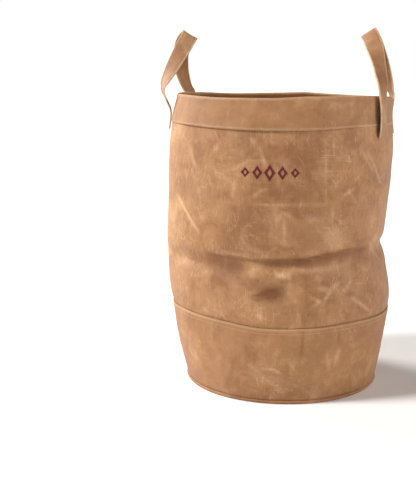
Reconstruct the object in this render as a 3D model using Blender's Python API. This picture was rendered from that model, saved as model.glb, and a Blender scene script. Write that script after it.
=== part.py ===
"""Round waxed-canvas storage tote with a turned rim band, a lower band and two carry handles.

The part stands on the floor at z = 0, with its front toward -Y and a handle on each X side.
Azimuth 0 is the front and +90 is the +X side. Lengths are in metres.
"""
from collections import namedtuple
from math import atan2, copysign, cos, degrees, exp, pi, radians, sin

import bmesh
import bpy
from mathutils import Vector

TOTE_HEIGHT = 0.552
RIM_DIAMETER = 0.4064
HEM_DEPTH = 0.054
LOWER_BAND_HEIGHT = 0.1495
BASE_LIP_HEIGHT = 0.007
WALL_THICKNESS = 0.0015
BAND_THICKNESS = 0.0012
BASE_THICKNESS = 0.002
BASE_ROUNDING = 0.0018
STRAP_WIDTH = 0.032
STRAP_THICKNESS = 0.0032
LEFT_FOOT_SPACING = 0.116
LEFT_FOOT_DROP = 0.068
LEFT_LOOP_RISE = 0.110
RIGHT_FOOT_SPACING = 0.135
RIGHT_FOOT_DROP = 0.073
RIGHT_LOOP_RISE = 0.116
GAP = 0.0003
SIDES = 48

RIM_RADIUS = RIM_DIAMETER / 2
BAND_OFFSET = GAP + BAND_THICKNESS
SEAM_HEIGHT = BASE_LIP_HEIGHT + GAP
HEM_HEIGHT = TOTE_HEIGHT - HEM_DEPTH
WALL_TOP = TOTE_HEIGHT - BAND_OFFSET

# The waist, where the cloth sags into folds, as shares of TOTE_HEIGHT.
WAIST_LOW = 0.43
WAIST_HIGH = 0.53
FOLD_FADE = 16.0

# Outer face of the wall as shares: height of TOTE_HEIGHT, then the reach of each side of RIM_RADIUS.
Section = namedtuple("Section", "height left front right back")
SECTIONS = (
    Section(0.00, 0.905, 0.895, 0.900, 0.900),
    Section(0.06, 0.950, 0.930, 0.930, 0.935),
    Section(0.17, 1.020, 0.985, 0.982, 0.990),
    Section(0.27, 1.060, 1.020, 1.020, 1.030),
    Section(0.31, 1.090, 1.035, 1.030, 1.040),
    Section(0.40, 1.110, 1.015, 0.995, 1.030),
    Section(0.50, 1.125, 1.015, 0.962, 1.020),
    Section(0.58, 1.105, 1.030, 0.972, 1.030),
    Section(0.72, 1.100, 1.050, 1.008, 1.045),
    Section(0.80, 1.095, 1.045, 1.015, 1.045),
    Section(0.88, 1.070, 1.030, 1.004, 1.035),
    Section(0.93, 1.050, 1.010, 0.986, 1.010),
    Section(1.00, 0.995, 0.991, 0.991, 0.991),
)

# Sags that run round the wall: azimuths in degrees, the rest as shares of height and radius.
Fold = namedtuple("Fold", "start end start_height end_height above below depth")
FOLDS = (
    Fold(-66.0, 118.0, 0.462, 0.506, 0.018, 0.030, 0.046),
    Fold(118.0, 294.0, 0.500, 0.470, 0.020, 0.030, 0.026),
    Fold(-24.0, 4.0, 0.440, 0.448, 0.010, 0.018, 0.020),
    Fold(-4.0, 26.0, 0.388, 0.386, 0.026, 0.026, 0.020),
)

# Upright puckers: azimuth and half width in degrees, the rest as shares of height and radius.
Pucker = namedtuple("Pucker", "azimuth half_width low high depth")
PUCKERS = (
    Pucker(-48.0, 9.0, 0.02, 0.22, 0.014),
    Pucker(23.0, 8.0, 0.04, 0.25, 0.016),
    Pucker(45.0, 8.0, 0.06, 0.25, 0.014),
    Pucker(78.0, 9.0, 0.02, 0.20, 0.010),
    Pucker(150.0, 10.0, 0.02, 0.24, 0.014),
    Pucker(-142.0, 10.0, 0.04, 0.24, 0.012),
    Pucker(30.0, 12.0, 0.56, 0.88, 0.010),
    Pucker(-28.0, 12.0, 0.54, 0.84, 0.010),
)

# How far each line strays from level, as shares of TOTE_HEIGHT.
Wave = namedtuple("Wave", "azimuth band hem rim")
WAVES = (
    Wave(-180.0, 0.000, 0.000, 0.002),
    Wave(-158.0, 0.002, -0.002, -0.001),
    Wave(-139.0, 0.004, -0.002, -0.002),
    Wave(-115.0, 0.007, 0.004, 0.004),
    Wave(-90.0, 0.010, 0.010, 0.008),
    Wave(-50.0, 0.012, 0.009, 0.006),
    Wave(-20.0, 0.008, 0.003, 0.001),
    Wave(5.0, -0.003, 0.000, 0.001),
    Wave(25.0, -0.002, 0.001, 0.006),
    Wave(50.0, 0.005, 0.007, 0.006),
    Wave(95.0, -0.002, 0.004, -0.003),
    Wave(140.0, 0.002, 0.000, -0.007),
    Wave(165.0, 0.001, 0.000, -0.003),
    Wave(180.0, 0.000, 0.000, 0.002),
)

# A handle from its front foot to its rear foot: along as a share of half its foot spacing, height
# as a share of the loop's rise, outward as a share of STRAP_WIDTH, twist in degrees.
Station = namedtuple("Station", "along height outward twist")
LEFT_LOOP = (
    Station(-1.00, 0.00, 0.00, 0.0),
    Station(-1.00, 0.18, 0.06, 0.0),
    Station(-0.96, 0.31, 0.52, 0.0),
    Station(-0.93, 0.41, 0.84, 12.0),
    Station(-0.88, 0.50, 0.72, 30.0),
    Station(-0.78, 0.62, 0.40, 48.0),
    Station(-0.62, 0.76, 0.02, 66.0),
    Station(-0.34, 0.91, -0.36, 84.0),
    Station(0.00, 0.99, -0.44, 90.0),
    Station(0.32, 0.92, 0.17, 98.0),
    Station(0.58, 0.77, 0.60, 126.0),
    Station(0.76, 0.62, 0.66, 153.0),
    Station(0.88, 0.46, 0.48, 166.0),
    Station(0.95, 0.36, 0.20, 176.0),
    Station(1.00, 0.20, 0.02, 180.0),
    Station(1.00, 0.00, 0.00, 180.0),
)
RIGHT_LOOP = (
    Station(-1.00, 0.00, 0.00, 0.0),
    Station(-1.04, 0.14, 0.12, -10.0),
    Station(-1.09, 0.30, 0.15, -12.0),
    Station(-1.11, 0.40, 0.12, -7.0),
    Station(-1.08, 0.47, 0.04, 0.0),
    Station(-0.96, 0.54, -0.14, 8.0),
    Station(-0.64, 0.72, -0.64, 26.0),
    Station(-0.23, 0.91, -1.14, 66.0),
    Station(0.13, 1.00, -1.48, 90.0),
    Station(0.46, 0.91, -1.18, 98.0),
    Station(0.75, 0.72, -0.72, 122.0),
    Station(0.92, 0.55, -0.30, 152.0),
    Station(0.97, 0.46, -0.08, 168.0),
    Station(0.99, 0.38, 0.06, 178.0),
    Station(1.00, 0.20, 0.02, 180.0),
    Station(1.00, 0.00, 0.00, 180.0),
)
STEPS_PER_ROW = 3
STRAP_COLUMNS = 4
SLOPE_STEP = 0.05

# Where each handle sits: azimuth of its middle and lean in degrees, feet apart, foot end below
# the rim and loop top above it in metres.
Handle = namedtuple("Handle", "name middle lean spacing foot_drop loop_rise rows")
HANDLES = (
    Handle(
        "handle_left",
        -89.0,
        30.0,
        LEFT_FOOT_SPACING,
        LEFT_FOOT_DROP,
        LEFT_LOOP_RISE,
        LEFT_LOOP,
    ),
    Handle(
        "handle_right",
        90.0,
        33.0,
        RIGHT_FOOT_SPACING,
        RIGHT_FOOT_DROP,
        RIGHT_LOOP_RISE,
        RIGHT_LOOP,
    ),
)

CANVAS_COLOR = (0.42, 0.235, 0.120, 1.0)
BAND_COLOR = (0.45, 0.260, 0.135, 1.0)
LOWER_BAND_COLOR = (0.47, 0.280, 0.150, 1.0)
STRAP_COLOR = (0.40, 0.215, 0.105, 1.0)
BASE_COLOR = (0.38, 0.205, 0.100, 1.0)
CANVAS_ROUGHNESS = 0.85
SMOOTH_ANGLE = radians(50)


def column(rows, name):
    return [getattr(row, name) for row in rows]


def slopes_of(stations, values):
    """Return a slope at each station that never lets the curve swing past its values."""
    steps = []
    for first, second, low, high in zip(stations, stations[1:], values, values[1:]):
        steps.append((high - low) / (second - first))
    slopes = [steps[0]]
    for before, after in zip(steps, steps[1:]):
        turns = before * after <= 0
        slopes.append(0.0 if turns else 2 * before * after / (before + after))
    slopes.append(steps[-1])
    return slopes


def smooth_value(stations, values, at):
    """Read a smooth curve through the table's values."""
    at = min(max(at, stations[0]), stations[-1])
    index = 0
    while index < len(stations) - 2 and at > stations[index + 1]:
        index += 1
    span = stations[index + 1] - stations[index]
    t = (at - stations[index]) / span
    slopes = slopes_of(stations, values)
    start = values[index] * (1 + 2 * t) + slopes[index] * span * t
    end = values[index + 1] * (3 - 2 * t) + slopes[index + 1] * span * (t - 1)
    return start * (1 - t) ** 2 + end * t * t


def smooth_step(value):
    value = min(max(value, 0.0), 1.0)
    return value * value * (3 - 2 * value)


def section_reach(azimuth, share):
    """Outer radius of the wall before its folds."""
    heights = column(SECTIONS, "height")
    side = "right" if sin(azimuth) > 0 else "left"
    face = "front" if cos(azimuth) > 0 else "back"
    side_reach = smooth_value(heights, column(SECTIONS, side), share)
    face_reach = smooth_value(heights, column(SECTIONS, face), share)
    return RIM_RADIUS * (side_reach * sin(azimuth) ** 2 + face_reach * cos(azimuth) ** 2)


def fold_depth(azimuth, share):
    """How far the folds and puckers draw the wall in."""
    depth = 0.0
    for fold in FOLDS:
        passed = (degrees(azimuth) - fold.start) % 360
        length = fold.end - fold.start
        if passed < length:
            climb = fold.end_height - fold.start_height
            middle = fold.start_height + climb * passed / length
            width = fold.above if share > middle else fold.below
            ends = smooth_step(min(passed, length - passed) / FOLD_FADE)
            depth += fold.depth * ends * exp(-(((share - middle) / width) ** 2))
    for pucker in PUCKERS:
        turn = (degrees(azimuth) - pucker.azimuth + 180) % 360 - 180
        across = smooth_step(1 - abs(turn) / pucker.half_width)
        up = min(max((share - pucker.low) / (pucker.high - pucker.low), 0), 1)
        depth += pucker.depth * across * sin(pi * up) ** 2
    return RIM_RADIUS * depth


def wave_height(azimuth, height):
    """Lift of a height where the seams and the rim stray from level."""
    turns = column(WAVES, "azimuth")
    band = smooth_value(turns, column(WAVES, "band"), degrees(azimuth))
    hem = smooth_value(turns, column(WAVES, "hem"), degrees(azimuth))
    rim = smooth_value(turns, column(WAVES, "rim"), degrees(azimuth))
    waist = (WAIST_LOW + WAIST_HIGH) / 2 * TOTE_HEIGHT
    heights = (SEAM_HEIGHT, LOWER_BAND_HEIGHT, waist, HEM_HEIGHT, TOTE_HEIGHT)
    return TOTE_HEIGHT * smooth_value(heights, (0.0, band, 0.0, hem, rim), height)


def wall_point(azimuth, height, offset=0.0):
    """Point at an offset outside the wall's outer face."""
    share = height / TOTE_HEIGHT
    radius = section_reach(azimuth, share) - fold_depth(azimuth, share) + offset
    lifted = height + wave_height(azimuth, height)
    return Vector((radius * sin(azimuth), -radius * cos(azimuth), lifted))


def heights_between(low, high, steps):
    return [low + (high - low) * step / steps for step in range(1, steps + 1)]


LOWER_HEIGHTS = [SEAM_HEIGHT] + heights_between(SEAM_HEIGHT, LOWER_BAND_HEIGHT, 7)
BODY_HEIGHTS = heights_between(LOWER_BAND_HEIGHT, WAIST_LOW * TOTE_HEIGHT, 4)
BODY_HEIGHTS += heights_between(WAIST_LOW * TOTE_HEIGHT, WAIST_HIGH * TOTE_HEIGHT, 8)
BODY_HEIGHTS += heights_between(WAIST_HIGH * TOTE_HEIGHT, HEM_HEIGHT, 6)
RIM_HEIGHTS = heights_between(HEM_HEIGHT, WALL_TOP, 3)


def make_material(name, color):
    material = bpy.data.materials.new(name)
    material.use_nodes = True
    surface = material.node_tree.nodes["Principled BSDF"]
    surface.inputs["Base Color"].default_value = color
    surface.inputs["Roughness"].default_value = CANVAS_ROUGHNESS
    surface.inputs["Metallic"].default_value = 0.0
    return material


def add_object(mesh, name, color):
    """Turn a bmesh into a named, smooth-shaded object with its own material."""
    data = bpy.data.meshes.new(name)
    mesh.to_mesh(data)
    mesh.free()
    data.shade_smooth()
    data.set_sharp_from_angle(angle=SMOOTH_ANGLE)
    data.materials.append(make_material(name + "_canvas", color))
    item = bpy.data.objects.new(name, data)
    bpy.context.scene.collection.objects.link(item)
    return item


def thicken(item, thickness, side):
    """Give a cloth skin its thickness, along its normals for side 1, against them for -1."""
    solidify = item.modifiers.new("cloth thickness", "SOLIDIFY")
    solidify.thickness = thickness
    solidify.offset = side
    solidify.use_even_offset = True


def face_out(mesh, sample):
    """Turn the faces over if the sample, on the outer side, looks toward the axis."""
    if sample.normal.dot(sample.calc_center_median()) < 0:
        bmesh.ops.reverse_faces(mesh, faces=mesh.faces)


def make_skin(name, stations, color):
    """Raise a ring of cloth through stations of (height, offset), its faces pointing away."""
    mesh = bmesh.new()
    bmesh.ops.create_circle(mesh, segments=SIDES, radius=RIM_RADIUS)
    edges = mesh.edges[:]
    for index, (height, offset) in enumerate(stations):
        if index:
            raised = bmesh.ops.extrude_edge_only(mesh, edges=edges)["geom"]
            edges = [piece for piece in raised if isinstance(piece, bmesh.types.BMEdge)]
            edges = [edge for edge in edges if len(edge.link_faces) == 1]
        ring = {vert for edge in edges for vert in edge.verts}
        for vert in ring:
            vert.co = wall_point(atan2(vert.co.x, -vert.co.y), height, offset)
    bmesh.ops.triangulate(mesh, faces=mesh.faces, quad_method="FIXED")
    face_out(mesh, mesh.faces[:][0])
    return add_object(mesh, name, color)


def make_wall():
    stations = [(height, 0.0) for height in LOWER_HEIGHTS + BODY_HEIGHTS + RIM_HEIGHTS]
    thicken(make_skin("wall", stations, CANVAS_COLOR), WALL_THICKNESS, -1)


def make_rim_band():
    """Turn a band over the wall's top edge, with one leg outside and one inside."""
    outer = GAP
    inner = -(WALL_THICKNESS + 2 * GAP)
    legs = [HEM_HEIGHT] + RIM_HEIGHTS
    stations = [(height, outer) for height in legs]
    stations += [(WALL_TOP + GAP, (outer + inner) / 2)]
    stations += [(height, inner) for height in reversed(legs)]
    thicken(make_skin("rim_band", stations, BAND_COLOR), BAND_THICKNESS, 1)


def make_lower_band():
    stations = [(height, GAP) for height in LOWER_HEIGHTS]
    thicken(make_skin("lower_band", stations, LOWER_BAND_COLOR), BAND_THICKNESS, 1)


def make_base():
    """A round panel with a turned-up lip that carries the wall and the lower band."""
    mesh = bmesh.new()
    bmesh.ops.create_circle(mesh, segments=SIDES, radius=RIM_RADIUS, cap_ends=True)
    for vert in mesh.verts:
        vert.co = wall_point(atan2(vert.co.x, -vert.co.y), SEAM_HEIGHT, BAND_OFFSET)
        vert.co.z = 0.0
    under_edges = mesh.edges[:]
    raised = bmesh.ops.extrude_face_region(mesh, geom=mesh.faces[:])["geom"]
    top = [piece for piece in raised if isinstance(piece, bmesh.types.BMFace)]
    lifted = [piece for piece in raised if isinstance(piece, bmesh.types.BMVert)]
    bmesh.ops.translate(mesh, verts=lifted, vec=(0, 0, BASE_LIP_HEIGHT))
    lip_width = WALL_THICKNESS + BAND_OFFSET + 2 * GAP
    bmesh.ops.inset_region(mesh, faces=top, thickness=lip_width, use_even_offset=True)
    sunk = top[0].verts[:]
    bmesh.ops.translate(mesh, verts=sunk, vec=(0, 0, BASE_THICKNESS - BASE_LIP_HEIGHT))
    bmesh.ops.bevel(
        mesh,
        geom=[edge for edge in under_edges if edge.is_valid],
        offset=BASE_ROUNDING,
        segments=2,
        profile=0.5,
        affect="EDGES",
        material=-1,
    )
    bmesh.ops.recalc_face_normals(mesh, faces=mesh.faces)
    add_object(mesh, "base", BASE_COLOR)


def loop_value(rows, name, place):
    return smooth_value(list(range(len(rows))), column(rows, name), place)


def strap_centre(handle, place):
    """Back face of the strap on its middle line, place counted in table rows."""
    rearward = loop_value(handle.rows, "along", place) * handle.spacing / 2 / RIM_RADIUS
    azimuth = radians(handle.middle) + copysign(rearward, rearward * handle.middle)
    rise = loop_value(handle.rows, "height", place) * (handle.loop_rise + handle.foot_drop)
    height = TOTE_HEIGHT - handle.foot_drop + rise
    seat = wall_point(azimuth, min(height, TOTE_HEIGHT), BAND_OFFSET + GAP)
    seat.z += max(height - TOTE_HEIGHT, 0.0)
    outward = loop_value(handle.rows, "outward", place) * STRAP_WIDTH
    return seat + Vector((sin(azimuth), -cos(azimuth), 0)) * outward, azimuth, height


def strap_point(handle, place, across):
    """Point on the strap's back face, across counted from -0.5 to 0.5 of its width."""
    centre, azimuth, height = strap_centre(handle, place)
    last = len(handle.rows) - 1
    before = strap_centre(handle, max(place - SLOPE_STEP, 0))[0]
    after = strap_centre(handle, min(place + SLOPE_STEP, last))[0]
    path = (after - before).normalized()
    on_wall = min(height, TOTE_HEIGHT)
    rearward = wall_point(azimuth + SLOPE_STEP, on_wall)
    rearward -= wall_point(azimuth - SLOPE_STEP, on_wall)
    rearward.z = 0
    rearward.normalize()
    if handle.middle < 0:
        rearward.negate()
    outward = Vector((sin(azimuth), -cos(azimuth), 0))
    twist = radians(loop_value(handle.rows, "twist", place))
    lean = radians(handle.lean)
    leaning = outward * cos(lean) + Vector((0, 0, sin(lean)))
    width = rearward * cos(twist) + leaning * sin(twist)
    width = (width - path * width.dot(path)).normalized()
    return centre + width * STRAP_WIDTH * across


def make_handle(handle):
    """One strap with both feet on the rim band, its loop twisted edge-up."""
    mesh = bmesh.new()
    last = len(handle.rows) - 1
    steps = last * STEPS_PER_ROW
    bmesh.ops.create_grid(mesh, x_segments=STRAP_COLUMNS, y_segments=steps, size=0.5)
    for vert in mesh.verts:
        place = (vert.co.y + 0.5) * last
        vert.co = strap_point(handle, place, vert.co.x)
    bmesh.ops.triangulate(mesh, faces=mesh.faces, quad_method="FIXED")
    face_out(mesh, min(mesh.faces, key=lambda face: face.calc_center_median().z))
    thicken(add_object(mesh, handle.name, STRAP_COLOR), STRAP_THICKNESS, 1)


for leftover in list(bpy.data.objects):
    bpy.data.objects.remove(leftover)

make_wall()
make_rim_band()
make_lower_band()
make_base()
for handle in HANDLES:
    make_handle(handle)
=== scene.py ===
"""Looks of a tall round storage tote sewn from waxed canvas, with a turned rim and two handles.

Lengths are in metres. The tote stands at the origin with its front toward -Y. Azimuth 0 is the
front and +90 degrees the +X side, and a height is measured from the floor.
"""
from collections import namedtuple
from math import cos, pi, radians, sin

import bmesh
import bpy
import numpy as np
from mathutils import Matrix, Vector, noise


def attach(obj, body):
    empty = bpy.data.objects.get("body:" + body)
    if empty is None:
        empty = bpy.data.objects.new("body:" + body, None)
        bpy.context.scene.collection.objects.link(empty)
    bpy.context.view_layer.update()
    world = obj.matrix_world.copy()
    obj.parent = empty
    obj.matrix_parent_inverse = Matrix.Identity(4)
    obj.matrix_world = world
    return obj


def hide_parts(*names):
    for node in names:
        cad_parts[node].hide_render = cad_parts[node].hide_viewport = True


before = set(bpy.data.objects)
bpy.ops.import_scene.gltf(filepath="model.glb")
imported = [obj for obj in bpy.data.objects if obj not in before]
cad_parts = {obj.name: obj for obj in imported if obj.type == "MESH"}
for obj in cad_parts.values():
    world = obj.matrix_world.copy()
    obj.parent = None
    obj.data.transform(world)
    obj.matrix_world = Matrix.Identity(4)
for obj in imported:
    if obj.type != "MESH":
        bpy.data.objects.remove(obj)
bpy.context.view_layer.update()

# The studio: a pale seamless floor under a white sky, one broad soft light from the front left,
# and a weaker one from the right. The camera looks slightly down from a little above the rim.
CAMERA_PLACE = (0.3868, -1.7661, 0.6044)
CAMERA_PITCH = radians(90 - 10.487)
CAMERA_TURN = radians(17.0)
LENS = 69.93
FLOOR_SIZE = 60.0
SKY_LIGHT = 0.09

camera_data = bpy.data.cameras.new("camera")
camera_data.lens = LENS
camera_data.sensor_width = 36.0
camera = bpy.data.objects.new("camera", camera_data)
camera.location = CAMERA_PLACE
camera.rotation_euler = (CAMERA_PITCH, 0.0, CAMERA_TURN)
bpy.context.scene.collection.objects.link(camera)
bpy.context.scene.camera = camera

floor_mesh = bmesh.new()
bmesh.ops.create_grid(floor_mesh, x_segments=1, y_segments=1, size=FLOOR_SIZE / 2)
floor_data = bpy.data.meshes.new("floor")
floor_mesh.to_mesh(floor_data)
floor_mesh.free()
floor = bpy.data.objects.new("floor", floor_data)
bpy.context.scene.collection.objects.link(floor)
floor_paint = bpy.data.materials.new("floor_paint")
floor_paint.use_nodes = True
floor_surface = floor_paint.node_tree.nodes["Principled BSDF"]
floor_surface.inputs["Base Color"].default_value = (0.95, 0.95, 0.95, 1.0)
floor_surface.inputs["Roughness"].default_value = 0.9
floor_data.materials.append(floor_paint)

world = bpy.data.worlds.new("studio")
world.use_nodes = True
sky = world.node_tree.nodes["Background"]
sky.inputs["Color"].default_value = (1.0, 1.0, 1.0, 1.0)
sky_path = world.node_tree.nodes.new("ShaderNodeLightPath")
sky_level = world.node_tree.nodes.new("ShaderNodeMapRange")
sky_level.inputs["To Min"].default_value = SKY_LIGHT
sky_level.inputs["To Max"].default_value = 1.0
world.node_tree.links.new(sky_path.outputs["Is Camera Ray"], sky_level.inputs["Value"])
world.node_tree.links.new(sky_level.outputs["Result"], sky.inputs["Strength"])
bpy.context.scene.world = world
bpy.context.scene.view_settings.view_transform = "Standard"


def add_sun(name, azimuth, height, strength, spread, color):
    """Shine one soft light from an azimuth and a height, both in degrees."""
    data = bpy.data.lights.new(name, "SUN")
    data.energy = strength
    data.angle = radians(spread)
    data.color = color
    light = bpy.data.objects.new(name, data)
    light.rotation_euler = (radians(90 - height), 0.0, radians(azimuth))
    bpy.context.scene.collection.objects.link(light)


add_sun("key", -58.0, 40.0, 3.6, 16.0, (1.0, 0.985, 0.97))
add_sun("rim", -114.0, 28.0, 3.0, 24.0, (1.0, 0.98, 0.95))
add_sun("fill", 84.0, 24.0, 1.90, 30.0, (1.0, 0.95, 0.92))

# The wall: one layer of heavy waxed canvas, cut flat and closed by a felled seam at the back.
# It sags at the waist, and its wax has turned pale wherever the cloth was creased.
COLUMNS = 48
COLUMN_TURN = 2 * pi / COLUMNS
LEVEL_STEP = 0.004
LEVELS = np.arange(0.0, 0.561, LEVEL_STEP)
CLOTH_RADIUS = 0.209
WALL_THICKNESS = 0.0015
WALL_SEGMENTS = 320
WALL_ROWS = 136
FRONT_DENSITY = 0.35
SEAM_RIDGE = 0.0016
SEAM_WIDTH = 0.009
BAND_PINCH = 0.0016
TURNED_WIDTH = 0.004
TURNED_LIFT = 0.0006

wall_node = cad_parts["wall"]


def cad_reach(azimuth, height):
    """Radius of the CAD wall's outer face in one direction, or nan past its edges."""
    outward = Vector((sin(azimuth), -cos(azimuth), 0.0))
    start = outward * 0.4 + Vector((0.0, 0.0, height))
    hit, place = wall_node.ray_cast(start, -outward)[:2]
    return place.xy.length if hit and place.dot(outward) > 0 else np.nan


def reach_column(azimuth):
    """The wall's radius at every level of one column, with its kinks eased."""
    column = np.array([cad_reach(azimuth, float(height)) for height in LEVELS])
    found = ~np.isnan(column)
    column = np.interp(LEVELS, LEVELS[found], column[found])
    for round_of_easing in range(2):
        column[1:-1] = (column[:-2] + 2 * column[1:-1] + column[2:]) / 4
    return column


def edge_column(node, pick):
    """Height of a CAD node's top or bottom edge at each column."""
    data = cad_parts[node].data
    places = np.empty(len(data.vertices) * 3)
    data.vertices.foreach_get("co", places)
    places = places.reshape(-1, 3)
    turn = np.round(np.arctan2(places[:, 0], -places[:, 1]) / COLUMN_TURN).astype(int) % COLUMNS
    return np.array([pick(places[turn == column, 2]) for column in range(COLUMNS)])


bpy.context.view_layer.update()
REACH = np.array([reach_column(column * COLUMN_TURN + 1e-4) for column in range(COLUMNS)])
WALL_TOP = edge_column("wall", np.max)
RIM_TOP = edge_column("rim_band", np.max)
HEM_LINE = edge_column("rim_band", np.min)
BAND_LINE = edge_column("lower_band", np.max)
SEAM_HEIGHT = float(np.min(edge_column("wall", np.min)))


def around(values, azimuth, level=None):
    """Read a smooth closed curve through one value for each column."""
    place = np.asarray(azimuth) / COLUMN_TURN
    first = np.floor(place).astype(int)
    part = place - first
    near = []
    for step in (-1, 0, 1, 2):
        column = (first + step) % COLUMNS
        near.append(values[column] if level is None else values[column, level])
    before, start, end, after = near
    start_slope = (end - before) / 2
    end_slope = (after - start) / 2
    rise = start * (1 + 2 * part) + start_slope * part
    fall = end * (3 - 2 * part) + end_slope * (part - 1)
    return rise * (1 - part) ** 2 + fall * part * part


def cloth_reach(azimuth, height):
    """Radius of the wall's outer face before its small creases."""
    place = np.clip(np.asarray(height) / LEVEL_STEP, 0, len(LEVELS) - 1.001)
    level = place.astype(int)
    part = place - level
    low = around(REACH, azimuth, level)
    high = around(REACH, azimuth, level + 1)
    return low * (1 - part) + high * part


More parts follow.
